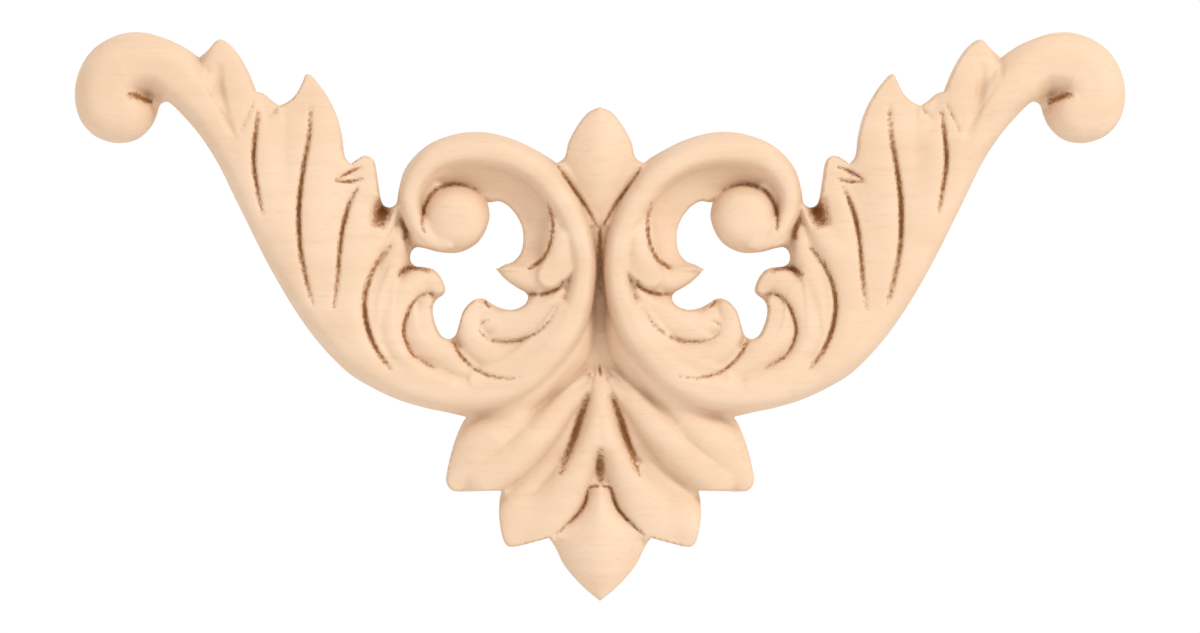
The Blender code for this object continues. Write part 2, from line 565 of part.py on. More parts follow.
def raise_carving(bm):
    for vert, height in zip(bm.verts, carved_height(plan_places(bm.verts))):
        vert.co.y = -height


def thinned(mesh):
    """The carved face with fewer triangles where it is nearly flat."""
    face = bpy.data.objects.new("carved_face", mesh)
    bpy.context.scene.collection.objects.link(face)
    thin = face.modifiers.new("Thin", "DECIMATE")
    thin.ratio = FACE_TRIANGLES / len(mesh.polygons)
    thin.use_symmetry = True
    graph = bpy.context.evaluated_depsgraph_get()
    result = bpy.data.meshes.new_from_object(face.evaluated_get(graph))
    bpy.data.objects.remove(face)
    return result


def close_back(bm):
    """Walls from the rim straight back, and the flat back between them."""
    rim = [edge for edge in bm.edges if edge.is_boundary]
    walls = bmesh.ops.extrude_edge_only(bm, edges=rim)["geom"]
    back_edges = [item for item in walls if isinstance(item, bmesh.types.BMEdge) and item.is_boundary]
    for edge in rim + back_edges:
        edge.smooth = False
    for item in walls:
        if isinstance(item, bmesh.types.BMVert):
            item.co.y = 0.0
    bmesh.ops.triangle_fill(bm, edges=back_edges, use_beauty=True, use_dissolve=False)
    bmesh.ops.recalc_face_normals(bm, faces=bm.faces)


def build_onlay():
    bm = bmesh.new()
    grid_over_half(bm)
    trim_to_outline(bm)
    raise_carving(bm)
    bmesh.ops.mirror(bm, geom=bm.verts[:] + bm.edges[:] + bm.faces[:], axis="X", merge_dist=TOUCHING)
    bmesh.ops.triangulate(bm, faces=bm.faces[:])
    carved = bpy.data.meshes.new(NAME)
    bm.to_mesh(carved)
    bm.clear()
    bm.from_mesh(thinned(carved))
    close_back(bm)
    mesh = bpy.data.meshes.new(NAME)
    bm.to_mesh(mesh)
    bm.free()
    mesh.shade_smooth()
    return bpy.data.objects.new(NAME, mesh)


def bare_wood():
    material = bpy.data.materials.new("bare_wood")
    material.use_nodes = True
    shader = material.node_tree.nodes["Principled BSDF"]
    shader.inputs["Base Color"].default_value = (0.82, 0.6, 0.41, 1.0)
    shader.inputs["Roughness"].default_value = 0.6
    shader.inputs["Metallic"].default_value = 0.0
    return material


def main():
    for item in list(bpy.data.objects):
        bpy.data.objects.remove(item)
    collection = bpy.data.collections.new("Corner onlay")
    bpy.context.scene.collection.children.link(collection)
    onlay = build_onlay()
    onlay.data.materials.append(bare_wood())
    collection.objects.link(onlay)


main()
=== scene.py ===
"""Dresses the carved corner onlay: its fine carving, bare wood, camera, floor and studio light.

The drawing of the carving is the same as the solid's, and is cut here from a finer grid.
"""

import bmesh
import bpy
import numpy as np
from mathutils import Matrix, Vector, noise

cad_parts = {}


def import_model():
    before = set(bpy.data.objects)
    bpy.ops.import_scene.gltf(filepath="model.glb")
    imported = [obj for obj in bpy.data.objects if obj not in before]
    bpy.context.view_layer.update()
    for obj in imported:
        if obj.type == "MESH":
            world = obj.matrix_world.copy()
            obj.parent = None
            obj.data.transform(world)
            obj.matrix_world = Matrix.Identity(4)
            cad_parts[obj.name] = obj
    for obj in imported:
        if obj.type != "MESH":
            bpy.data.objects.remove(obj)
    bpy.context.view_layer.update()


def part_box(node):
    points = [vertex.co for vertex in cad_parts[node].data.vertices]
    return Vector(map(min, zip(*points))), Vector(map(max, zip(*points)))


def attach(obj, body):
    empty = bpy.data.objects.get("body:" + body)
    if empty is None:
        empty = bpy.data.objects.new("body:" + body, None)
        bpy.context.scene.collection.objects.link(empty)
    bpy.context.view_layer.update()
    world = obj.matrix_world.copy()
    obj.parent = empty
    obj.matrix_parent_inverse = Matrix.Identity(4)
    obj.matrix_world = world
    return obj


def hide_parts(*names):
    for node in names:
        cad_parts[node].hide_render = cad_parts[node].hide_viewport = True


NODE = "corner_onlay"

# Driving sizes of the carving, in metres, as the solid has them
WIDTH = 0.200             # across the two end curls
RELIEF = 0.012            # from the flat back to the tops of the rings
RIM = 0.0042              # thickness left along the outline
RIM_ROUND = 0.0026        # how far in from the outline its rounding reaches
FLOOR = 0.0036            # height of the lowest ground
THINNEST = 0.0015         # wood left under the deepest cut
BLEND = 0.0005            # how softly neighbouring strips run together
EDGE_FALL = 3.0           # how steeply a strip falls away beyond its own edge
CELL = 0.00034  # spacing of the grid that the carving is cut from

# Cut marks, painted shade in cuts and hollows, unevenness of the surface; in metres where nothing else is
# said
SHALLOW_CUT = 0.8         # a cut this many times as deep as its half width is left unmarked
STEEP_CUT = 2.0           # and one this many times as deep is fully marked
MARK_SPREAD = 0.9         # how far from its middle a cut is marked, in its half widths
MARK_END = 3.0            # how many of its half widths a mark is followed out
MARK_FADE = 0.5           # how much less a mark fades towards a cut's ends than the cut does
FIBRES = (900.0, 300.0, 1500.0)  # torn fibres in a metre: across, out and up
TORN_DEPTH = 0.00022      # how far the torn fibres stand out of a cut
SWELLS = 120.0            # faint swells of the finished surface in a metre
SWELL_DEPTH = 0.00004
HOLLOW_REACH = 0.0035     # how far around a place the wood is measured, for the painted shade
DEEP_HOLLOW = 0.0035      # a place this far below the wood around it gets the full painted shade

# Colours of the wood, linear
PALE_WOOD = (0.74, 0.54, 0.38, 1.0)
WARM_WOOD = (0.69, 0.48, 0.32, 1.0)
STREAK_BROWN = (0.62, 0.40, 0.24, 1.0)
PORE_BROWN = (0.42, 0.24, 0.13, 1.0)
# painted shade, laid where a place lies below the wood around it
PAINTED_SHADE_BROWN = (0.38, 0.23, 0.13, 1.0)
# brown in the narrow cuts: partly the burn of the cutter, partly painted shade
CUT_BURN_AND_SHADE = (0.33, 0.14, 0.045, 1.0)

# Clouds of noise in the wood: (times they are longer along the grain than across it, scale, detail)
BANDS = (14.0, 12.0, 6.0)
STREAKS = (30.0, 45.0, 3.0)
PORES = (9.0, 260.0, 2.0)
PATCHES = (1.0, 25.0, 2.0)
TORN_FIBRES = (1.0, 1300.0, 2.0)

# Tints over the pale wood: (colour, value where the tint starts, value where it is full, strength)
WARM_BANDS = (WARM_WOOD, 0.35, 0.7, 1.0)
BROWN_STREAKS = (STREAK_BROWN, 0.55, 0.75, 0.35)
BROWN_PORES = (PORE_BROWN, 0.62, 0.72, 0.12)
WARM_PATCHES = (WARM_WOOD, 0.45, 0.7, 0.4)
# painted shade, browner the deeper a place lies below the wood around it
PAINTED_SHADE_IN_HOLLOWS = (PAINTED_SHADE_BROWN, 0.12, 0.85, 0.75)
FIBRE_CONTRAST = (0.15, 0.85)  # the torn fibres' noise where they are absent, and where they are full
BROWNED = (0.72, 1.3)     # a cut's mark and its fibres together, where the brown starts and where it is full
IN_CUT = (0.05, 0.25)     # the mark alone, outside a cut and inside it

# Surface of the wood
ROUGHNESS = (0.5, 0.72)   # at the faintest and at the strongest of its bands
SPECULAR = 0.3
PORE_BUMP = 0.25
PORE_DEPTH = 0.0001

# Floor, camera and light: sizes and places in metres, powers in watts
FLOOR_LEVEL = -0.3
FLOOR_RADIUS = 2.5
FLOOR_SIDES = 96
FLOOR_COLOUR = (0.9, 0.9, 0.9, 1.0)
FLOOR_ROUGHNESS = 0.8
CAMERA_DISTANCE = 1.5
PICTURE_FILL = 0.88       # the onlay's part of the picture's width
SENSOR_WIDTH = 36.0       # in millimetres
CLIP_START = 0.05
CLIP_END = 50.0
WHITE = (1.0, 1.0, 1.0, 1.0)
WORLD_LIGHT = 1.02
KEY_PLACE = (0.8, -0.9, 0.7)
KEY_SIZE = 0.5
KEY_POWER = 8.0

# The drawing below is in millimetres of an onlay 200 mm wide: across from the middle, and up.
DRAWN_WIDTH = 200.0

# The outline of the right half, from the bud's tip round to the palmette's. Its smooth runs meet in corners.
OUTLINE = {
    "bud": [(0.0, 39.9), (2.2, 38.9), (4.2, 36.5), (5.9, 33.4), (6.7, 30.4), (8.2, 29.2)],
    "ring": [
        (8.2, 29.2), (10.4, 30.7), (15.6, 33.4), (21.1, 35.0), (26.2, 35.0), (31.4, 33.4), (34.8, 31.0),
        (37.2, 27.9), (38.3, 24.2), (38.6, 22.0), (39.1, 21.2), (40.1, 20.8), (41.2, 21.2), (41.8, 22.4),
        (42.3, 25.5), (42.7, 28.2), (43.1, 29.7), (43.9, 30.5), (45.0, 30.6), (46.4, 29.8), (47.5, 29.0),
    ],
    "tall_leaf": [
        (47.5, 29.0), (48.7, 30.7), (49.2, 34.5), (50.3, 38.6), (52.3, 42.5), (54.1, 44.9), (55.1, 46.0),
        (56.0, 46.0), (56.6, 44.6), (57.7, 42.5), (59.2, 41.0), (61.0, 40.1),
    ],
    "small_leaf": [(61.0, 40.1), (62.6, 41.2), (64.0, 42.4), (65.5, 42.9)],
    "end_leaf": [
        (65.5, 42.9), (66.3, 44.9), (67.3, 47.2), (68.8, 49.8), (70.2, 51.5), (71.6, 52.6), (72.6, 52.7),
        (73.5, 52.0), (74.5, 50.8), (76.3, 49.3),
    ],
    "curl_and_stem": [
        (76.3, 49.3), (79.5, 51.5), (82.9, 53.0), (86.4, 54.0), (89.8, 54.05), (93.2, 53.0), (96.7, 50.6),
        (99.1, 46.8), (99.95, 42.3), (99.1, 37.9), (96.7, 34.8), (93.9, 33.4), (91.1, 33.1), (88.1, 33.9),
        (85.7, 36.1), (84.6, 38.3), (84.0, 40.2), (83.1, 40.9), (81.9, 40.7), (79.5, 38.4), (76.0, 34.3),
        (72.6, 29.0), (69.2, 22.1), (62.3, 8.4), (55.4, -2.6), (48.6, -10.1), (43.4, -13.5), (38.2, -15.9),
        (33.1, -17.4), (29.7, -18.1), (25.4, -19.1),
    ],
    "outer_palm": [
        (25.4, -19.1), (26.5, -20.8), (28.0, -24.8), (29.2, -29.8), (29.2, -31.7),
        (28.4, -32.9), (26.9, -33.3), (22.8, -33.2), (18.7, -33.1),
    ],
    "middle_palm": [
        (18.7, -33.1), (19.1, -34.9), (19.2, -38.0), (18.7, -41.5), (17.8, -43.5), (16.3, -43.8),
        (12.9, -43.0), (9.7, -42.1),
    ],
    "tip_palm": [(9.7, -42.1), (8.5, -43.9), (7.0, -47.0), (4.9, -49.7), (2.5, -52.1), (0.0, -54.1)],
}

# The pierced gap inside a scroll, clockwise from the tip of its tongue
GAP = {
    "under_tongue": [
        (19.6, 9.0), (19.0, 8.1), (17.4, 6.6), (15.6, 5.4), (14.2, 4.6), (13.7, 3.6),
        (14.3, 2.3), (15.8, 1.5), (17.4, 1.3), (19.4, 1.8), (21.0, 2.7), (22.0, 3.4),
    ],
    "inner_hook": [
        (22.0, 3.4), (23.4, 3.4), (24.9, 2.5), (26.1, 0.9), (26.8, -1.4), (27.5, -3.5), (28.8, -4.3),
        (30.3, -3.6), (31.4, -1.4), (31.9, 0.9), (31.7, 2.4), (31.0, 3.4), (29.9, 4.2), (29.5, 5.1),
        (29.9, 6.6), (30.7, 8.0), (31.8, 9.0), (33.4, 9.4), (35.1, 9.6), (36.1, 10.5), (36.1, 12.1),
        (35.1, 13.2), (33.3, 13.0), (30.6, 12.3), (27.0, 12.2), (23.8, 13.7), (22.0, 16.0), (21.1, 18.7),
        (21.2, 20.6), (21.6, 22.0),
    ],
    "cove": [
        (21.6, 22.0), (20.7, 21.8), (19.2, 22.0), (17.4, 21.0), (15.8, 19.1), (14.8, 16.9), (14.6, 14.4),
        (15.1, 12.1), (16.5, 10.5), (18.3, 9.8), (19.6, 9.0),
    ],
}

# Sections across a strip: (squareness of its edge, squareness of its crest)
ROUND = (2.0, 2.0)
DOMED = (2.6, 2.2)
FLAT_TOPPED = (3.0, 2.0)
LEAF = (2.2, 1.6)
KEELED = (1.7, 1.3)
HOLLOW = (2.0, 1.0)

# Strips of carving: each point is (across, up, half width). All heights are parts of RELIEF: the crest's are
# spread evenly along its strip, and the edges are what it falls to on its right and left hand.
STRIPS = {
    "scroll": {
        "crest": (0.76, 0.93, 1.0, 0.95, 0.91, 0.86, 0.82, 0.77, 0.8, 0.89, 0.87),
        "section": FLAT_TOPPED,
        "edges": (0.35, 0.35),
        "points": [
            (28.4, 13.4, 1.0), (32.6, 15.0, 2.0), (35.8, 19.7, 2.2), (35.3, 25.5, 2.5), (30.0, 30.7, 3.2),
            (20.0, 31.1, 3.2), (11.8, 27.3, 3.1), (6.1, 20.0, 3.0), (3.1, 10.4, 2.6), (5.1, 0.0, 3.1),
            (10.1, -7.5, 3.6), (17.4, -12.9, 3.8), (26.2, -14.5, 3.8), (37.0, -12.1, 3.8),
            (49.3, -3.5, 3.9), (62.1, 16.7, 4.1), (69.0, 31.1, 4.2), (76.1, 41.7, 4.8),
            (84.0, 47.5, 5.8), (91.2, 47.2, 6.2), (93.8, 43.1, 6.1), (93.0, 40.0, 6.4), (91.3, 39.3, 6.2),
        ],
    },
    "eye": {
        "crest": (0.88, 0.88),
        "section": DOMED,
        "edges": (0.42, 0.42),
        "points": [(27.5, 18.6, 6.3), (27.3, 18.6, 6.3)],
    },
    "cove": {
        "crest": (-0.02, -0.05, -0.08, -0.07, -0.02),
        "section": HOLLOW,
        "edges": (0.72, 0.4),
        "points": [
            (34.4, 21.6, 0.4), (32.2, 24.4, 1.0), (30.0, 25.7, 1.6), (26.2, 26.6, 2.2), (20.6, 25.7, 3.2),
            (15.2, 22.8, 3.5), (12.4, 19.3, 3.5), (11.8, 15.6, 3.3), (13.0, 12.1, 2.9), (18.3, 9.7, 0.8),
        ],
    },
    "end_leaf": {
        "crest": (0.7, 0.8, 0.82, 0.8),
        "section": LEAF,
        "edges": (0.62, 0.6),
        "points": [
            (72.2, 51.0, 2.2), (71.4, 48.0, 4.6), (70.0, 42.5, 5.4), (67.3, 34.0, 4.9), (61.6, 17.3, 4.5),
        ],
    },
    "small_leaf": {
        "crest": (0.68, 0.78, 0.8, 0.78),
        "section": LEAF,
        "edges": (0.66, 0.62),
        "points": [(63.6, 41.0, 2.2), (63.5, 38.0, 3.2), (63.2, 28.3, 3.6), (60.6, 17.3, 3.8)],
    },
    "tall_leaf": {
        "crest": (0.62, 0.76, 0.82, 0.84, 0.84, 0.82),
        "section": LEAF,
        "edges": (0.6, 0.62),
        "points": [
            (55.5, 45.0, 1.8), (55.2, 41.3, 4.6), (55.2, 36.2, 6.8), (55.6, 29.3, 8.0),
            (55.2, 13.8, 7.4), (45.8, -5.1, 4.8),
        ],
    },
    "middle_leaf": {
        "crest": (0.62, 0.76, 0.82, 0.84, 0.84),
        "section": LEAF,
        "edges": (0.6, 0.64),
        "points": [
            (44.3, 29.4, 2.0), (45.0, 27.0, 3.6), (45.8, 21.4, 4.6), (47.7, 12.1, 5.2),
            (46.8, -1.6, 5.2), (43.1, -7.5, 4.1),
        ],
    },
    "low_leaf": {
        "crest": (0.68, 0.78, 0.82, 0.82, 0.82),
        "section": LEAF,
        "edges": (0.6, 0.62),
        "points": [
            (38.4, 20.8, 0.6), (41.6, 16.2, 2.2), (45.6, 8.7, 3.6), (45.8, -1.6, 3.8), (43.1, -6.8, 3.1),
        ],
    },
    "inner_leaf": {
        "crest": (0.62, 0.72, 0.78, 0.78),
        "section": LEAF,
        "edges": (0.58, 0.6),
        "points": [(38.3, 16.2, 1.0), (39.6, 10.4, 2.6), (42.0, 4.0, 2.2), (42.8, -2.4, 1.2)],
    },
    "outer_hook": {
        "crest": (0.68, 0.76, 0.82, 0.84, 0.84),
        "section": LEAF,
        "edges": (0.62, 0.66),
        "points": [
            (30.8, 5.3, 1.2), (32.6, 6.7, 2.0), (35.0, 6.2, 2.4), (37.6, 3.3, 2.6),
            (39.4, -1.8, 2.6), (38.2, -6.6, 2.4), (34.3, -10.4, 2.2), (28.5, -12.6, 1.8),
        ],
    },
    "outer_pad": {
        "crest": (0.66, 0.74, 0.8, 0.82),
        "section": LEAF,
        "edges": (0.64, 0.6),
        "points": [(32.9, 2.2, 1.4), (34.0, -1.6, 2.7), (31.4, -6.2, 3.2), (24.8, -10.6, 2.4)],
    },
    "inner_hook": {
        "crest": (0.7, 0.78, 0.83, 0.86, 0.87),
        "section": LEAF,
        "edges": (0.66, 0.62),
        "points": [
            (23.9, 2.2, 1.2), (25.0, -1.0, 2.1), (23.6, -5.2, 2.7), (19.0, -8.2, 3.2),
            (13.4, -7.4, 3.2), (9.2, -3.4, 2.8), (6.9, 1.6, 1.8),
        ],
    },
    "inner_pad": {
        "crest": (0.72, 0.76, 0.8, 0.82),
        "section": LEAF,
        "edges": (0.62, 0.62),
        "points": [(21.4, -1.0, 1.8), (17.0, -1.6, 3.2), (11.4, 0.4, 3.0), (7.4, 4.6, 1.2)],
    },
    "tongue": {
        "crest": (0.62, 0.72, 0.8, 0.86, 0.9),
        "section": LEAF,
        "edges": (0.6, 0.6),
        "points": [(18.8, 9.2, 0.7), (16.4, 8.0, 1.6), (12.6, 7.0, 2.4), (8.6, 9.4, 2.8), (7.0, 15.0, 2.6)],
    },
    "bud": {
        "crest": (0.56, 0.7, 0.78, 0.78, 0.7, 0.58),
        "section": KEELED,
        "edges": (0.48, 0.48),
        "points": [
            (0.0, 39.5, 0.8), (0.0, 37.9, 3.3), (0.0, 34.5, 5.8), (0.0, 27.6, 7.3),
            (0.0, 19.3, 4.8), (0.0, 16.6, 3.1),
        ],
    },
    "outer_palm": {
        "crest": (0.38, 0.54, 0.65, 0.72, 0.72, 0.66),
        "section": LEAF,
        "edges": (0.46, 0.5),
        "points": [
            (2.2, -11.2, 0.6), (4.1, -13.8, 1.6), (6.9, -16.9, 2.3), (10.4, -21.0, 3.2),
            (15.6, -26.4, 3.7), (22.0, -31.2, 3.4),
        ],
    },
    "far_palm": {
        "crest": (0.42, 0.62, 0.7, 0.66, 0.56),
        "section": LEAF,
        "edges": (0.5, 0.44),
        "points": [
            (11.6, -15.4, 1.4), (17.0, -20.0, 3.2), (21.4, -24.0, 4.6),
            (25.0, -28.4, 4.4), (27.6, -31.4, 2.2),
        ],
    },
    "rib": {
        "crest": (0.4, 0.6, 0.72, 0.74),
        "section": LEAF,
        "edges": (0.46, 0.46),
        "points": [(0.0, -10.6, 0.6), (0.0, -14.4, 1.7), (0.0, -19.0, 2.8), (0.0, -24.4, 3.0)],
    },
    "middle_palm": {
        "crest": (0.7, 0.74, 0.72, 0.68, 0.6, 0.54),
        "section": LEAF,
        "edges": (0.5, 0.46),
        "points": [
            (1.2, -20.0, 1.8), (2.2, -24.4, 2.4), (4.4, -29.2, 3.2),
            (7.8, -34.6, 4.2), (11.8, -39.2, 4.6), (15.6, -42.0, 3.6),
        ],
    },
    "low_palm": {
        "crest": (0.42, 0.5, 0.58, 0.56),
        "section": LEAF,
        "edges": (0.4, 0.4),
        "points": [(8.8, -28.6, 1.4), (12.6, -33.2, 2.8), (15.6, -37.2, 3.6), (17.0, -41.0, 3.0)],
    },
    "between_rings": {
        "crest": (0.64, 0.6, 0.5, 0.36, 0.22),
        "section": ROUND,
        "edges": (0.3, 0.3),
        "points": [(0.0, 16.0, 1.0), (0.0, 10.0, 1.2), (0.0, 4.0, 1.4), (0.0, -2.0, 1.5)],
    },
    "ring_skirt": {
        "crest": (0.32, 0.55, 0.66, 0.66, 0.62, 0.5),
        "section": KEELED,
        "edges": (0.3, 0.3),
        "points": [
            (2.0, 6.0, 1.0), (3.2, -1.4, 2.4), (6.2, -7.8, 3.6),
            (11.6, -13.4, 3.8), (18.0, -16.8, 3.6), (25.0, -18.0, 2.6),
        ],
    },
    "tip_palm": {
        "crest": (0.6, 0.68, 0.68, 0.62, 0.44),
        "section": KEELED,
        "edges": (0.35, 0.35),
        "points": [
            (0.0, -32.6, 2.2), (0.0, -37.7, 4.5), (0.0, -40.4, 7.2), (0.0, -42.5, 9.4),
            (0.0, -45.3, 8.2), (0.0, -50.8, 4.3), (0.0, -53.8, 0.8),
        ],
    },
}

# Broad beds that the strips stand on: (height, points)
BEDS = {
    "arm": (0.64, [
        (74.5, 45.0, 3.0), (68.0, 38.0, 5.0), (60.5, 29.0, 9.5), (55.0, 18.0, 10.0),
        (50.0, 6.0, 8.5), (44.0, -5.0, 6.0), (38.0, -10.0, 4.0),
    ]),
    "lobes": (0.7, [
        (39.5, 3.0, 4.0), (37.5, -5.0, 4.0), (30.0, -10.4, 3.6),
        (20.0, -8.2, 4.5), (12.0, -4.0, 5.0), (8.0, 3.0, 4.0),
    ]),
    "outer_lobe": (0.64, [(35.4, 3.5, 3.0), (33.4, -4.0, 3.0), (29.0, -8.8, 3.0)]),
    "inner_lobe": (0.66, [(23.2, -0.5, 3.0), (18.5, -3.0, 3.5), (11.5, 0.0, 3.5)]),
    "tongue_root": (0.84, [(7.0, 17.0, 2.4), (7.4, 11.0, 3.0), (9.5, 7.8, 2.2)]),
    "hook_root": (0.84, [(7.4, 0.6, 1.8), (10.8, -5.4, 2.8), (16.0, -9.6, 2.6), (23.0, -11.8, 1.8)]),
    "eye_foot": (0.74, [(30.0, 13.7, 1.4), (33.0, 15.6, 2.2), (34.6, 18.0, 1.4)]),
    "bud_foot": (0.62, [(7.4, 27.2, 1.5), (4.4, 22.9, 1.4), (1.6, 18.6, 1.2)]),
    "eye_side": (0.6, [(31.2, 24.4, 0.9), (33.2, 22.0, 1.0), (34.0, 18.5, 1.0)]),
    "band_foot": (0.76, [(39.2, 8.6, 1.0), (40.6, 3.0, 1.5), (40.9, -3.0, 1.5)]),
    "pocket_foot": (0.56, [(38.4, 19.8, 0.9), (37.2, 16.6, 0.9)]),
    "curl_inside": (0.54, [(85.8, 41.6, 1.2), (87.4, 41.6, 1.4)]),
    "slit_foot": (0.5, [(0.0, -26.4, 1.0), (0.0, -31.6, 1.4)]),
    "tip_foot": (0.5, [(1.8, -32.8, 1.3), (3.4, -36.4, 1.5), (7.0, -40.6, 1.6)]),
    "palmette": (0.44, [(1.0, -15.0, 2.5), (7.0, -20.5, 4.5), (14.0, -26.5, 6.0), (9.5, -36.0, 6.5)]),
}

# Cuts of the tool: (half width and depth in millimetres, where along it the cut is deepest, points)
CUTS = {
    "curl_dish": (2.6, 1.5, 0.5, [(83.6, 41.2), (86.2, 43.0), (88.6, 42.2)]),
    "curl": (0.7, 1.4, 0.6, [(84.6, 40.5), (86.4, 41.2), (88.0, 41.9), (89.8, 42.2)]),
    "neck": (0.7, 0.55, 0.5, [(76.3, 49.9), (76.2, 47.5), (75.9, 44.4)]),
    "end_leaf": (1.1, 0.95, 0.4, [(72.5, 48.2), (72.2, 43.0), (71.0, 38.0), (69.4, 33.4)]),
    "stem_edge": (0.4, 0.4, 0.4, [(75.6, 44.6), (72.0, 39.0), (68.6, 33.2)]),
    "leaf_fold": (0.35, 0.45, 0.4, [(65.4, 41.0), (67.0, 37.6), (68.6, 34.2)]),
    "small_leaf": (0.5, 1.4, 0.4, [(64.7, 39.2), (65.3, 34.8), (65.7, 30.0), (65.2, 25.4), (64.0, 19.0)]),
    "small_fold": (0.35, 0.45, 0.3, [(61.0, 39.6), (62.4, 38.2), (63.6, 37.4)]),
    "tall_leaf": (0.55, 1.6, 0.5, [
        (54.9, 40.4), (55.2, 34.4), (56.3, 28.0), (57.1, 21.0), (56.9, 13.4), (55.8, 7.4), (54.4, 1.8),
    ]),
    "middle_fold": (0.35, 0.7, 0.5, [(44.9, 28.6), (47.6, 27.4), (50.4, 25.8)]),
    "middle_hook": (0.35, 0.7, 0.5, [(44.8, 26.2), (47.6, 25.6), (50.4, 25.7)]),
    "middle_leaf": (0.5, 1.3, 0.3, [
        (45.9, 24.8), (47.6, 21.2), (48.8, 17.0), (49.4, 12.4), (49.8, 7.0), (50.6, 1.0),
    ]),
    "pocket": (1.8, 4.0, 0.45, [(40.9, 22.6), (41.4, 19.8), (42.3, 16.8)]),
    "low_pocket": (0.55, 1.1, 0.6, [(38.0, 19.0), (37.4, 17.4), (36.9, 16.0), (37.2, 14.4)]),
    "low_leaf": (0.55, 1.5, 0.65, [
        (39.2, 14.0), (42.4, 10.0), (44.3, 5.4), (44.7, 1.4), (43.9, -2.8), (42.2, -6.6), (39.4, -10.3),
    ]),
    "hook_top": (0.55, 1.4, 0.7, [(32.1, 8.4), (34.3, 9.2), (36.8, 9.0), (38.6, 7.6)]),
    "outer_hook": (0.42, 0.9, 0.4, [
        (31.0, 4.2), (33.3, 4.3), (35.4, 2.7), (36.9, -0.5),
        (37.2, -3.5), (35.9, -6.6), (33.8, -8.4), (30.7, -10.2),
    ]),
    "inner_hook": (0.42, 0.7, 0.55, [
        (8.0, 2.0), (9.2, -0.3), (11.3, -2.5), (14.4, -4.3),
        (17.4, -4.8), (20.5, -4.5), (22.5, -3.1), (22.9, -1.7),
    ]),
    "hook_curl": (0.3, 0.45, 0.3, [(22.9, -1.9), (22.2, -1.1), (20.8, -0.5)]),
    "hook_tip": (0.4, 0.7, 0.3, [(22.0, 3.4), (21.6, 2.4), (20.6, 1.6)]),
    "under_hook": (0.45, 0.8, 0.2, [
        (28.6, -4.4), (27.7, -5.2), (26.6, -7.2), (24.1, -9.7), (21.0, -11.2), (17.4, -11.7), (14.6, -11.3),
    ]),
    "cove_end": (0.5, 1.0, 0.85, [
        (10.0, 22.0), (9.1, 18.8), (9.1, 15.8), (9.8, 12.8), (11.3, 10.5), (13.8, 9.0),
    ]),
    "tongue": (0.45, 0.85, 0.4, [(6.8, 7.0), (7.6, 5.6), (9.2, 4.7), (11.5, 4.2), (14.2, 4.3)]),
    "eye": (0.42, 0.9, 0.75, [
        (22.4, 23.4), (25.0, 24.7), (28.4, 25.1), (31.4, 23.8), (33.3, 21.0), (33.7, 18.4), (33.3, 15.8),
    ]),
    "ring_base": (0.9, 0.5, 0.7, [(14.0, -16.6), (19.6, -18.8), (25.0, -19.6)]),
    "outer_palm": (1.1, 0.9, 0.5, [(3.0, -8.4), (6.4, -11.8), (9.6, -15.3), (12.4, -18.5), (14.4, -21.0)]),
    "palm_vein": (0.35, 0.3, 0.2, [(14.4, -21.0), (18.0, -24.5), (25.0, -30.0)]),
    "middle_palm": (0.75, 1.5, 0.4, [(1.9, -14.4), (3.6, -18.8), (5.2, -23.8), (7.6, -30.4)]),
    "valley": (1.8, 0.9, 0.4, [(0.0, 8.0), (0.0, 0.0), (0.0, -9.4)]),
    "bud": (0.42, 0.8, 0.6, [(8.6, 29.4), (5.7, 25.1), (3.1, 21.5), (0.4, 16.9)]),
    "crack": (0.5, 1.5, 0.15, [(0.0, 17.3), (0.0, 3.4)]),
    "rib_top": (0.35, 0.7, 0.5, [(0.0, -9.0), (0.0, -11.4)]),
    "slit": (0.9, 1.5, 0.55, [(0.0, -24.6), (0.0, -28.6), (0.0, -32.0)]),
    "tip_top": (0.3, 0.7, 0.5, [(0.0, -32.2), (1.2, -32.2), (2.4, -32.8)]),
    "tip_side": (0.4, 1.1, 0.3, [(2.1, -32.2), (2.8, -35.2), (3.8, -37.0), (5.6, -38.9), (8.6, -41.8)]),
}
CUT_SPREAD = 1.3          # reach of a cut's round bottom and sides, in its half widths
DISH_WIDTH = 2.6          # reach of its soft shoulders, in its half widths
DISH_DEPTH = 0.25         # and their depth, as a part of the cut's
DISH_END = 3.0            # how many times their reach they are followed out
CUT_FADE = 0.6            # how bluntly a cut ends, from 0 for square to 1 for a straight taper

UNIT = WIDTH / DRAWN_WIDTH
CURVE_STEPS = 8           # steps along a curve from one given point to the next
SNAP = 0.35               # corners this part of a cell from the outline are moved onto it
SNAP_STEPS = 2            # moves that it takes to bring a corner onto the outline
PROBE = 0.125             # how far off the outline's direction is felt for, as a part of a cell
LEAST_SLOPE = 0.3         # keeps a corner from being thrown far where two edges meet
HALVINGS = 8              # to find where an edge crosses the outline
TOUCHING = 1e-7           # places this close together are one
SPARE_CELLS = 2           # cells of the grid beyond the outline

# Numbers of the sockets that the mix node has for colours
MIX_UNDER = 6
MIX_OVER = 7
MIX_RESULT = 2


def smooth_line(points):
    """Points of a smooth curve through the given points, with whatever else each of them carries."""
    given = np.array(points, dtype=float) * UNIT
    run = np.vstack([2 * given[0] - given[1], given, 2 * given[-1] - given[-2]])
    t = np.linspace(0.0, 1.0, CURVE_STEPS, endpoint=False)[:, None]
    pieces = []
    for before, start, end, after in zip(run, run[1:], run[2:], run[3:]):
        leave = (end - before) / 2
        arrive = (after - start) / 2
        bend = 3 * (end - start) - 2 * leave - arrive
        twist = 2 * (start - end) + leave + arrive
        pieces.append(start + leave * t + bend * t ** 2 + twist * t ** 3)
    return np.vstack(pieces + [given[-1:]])


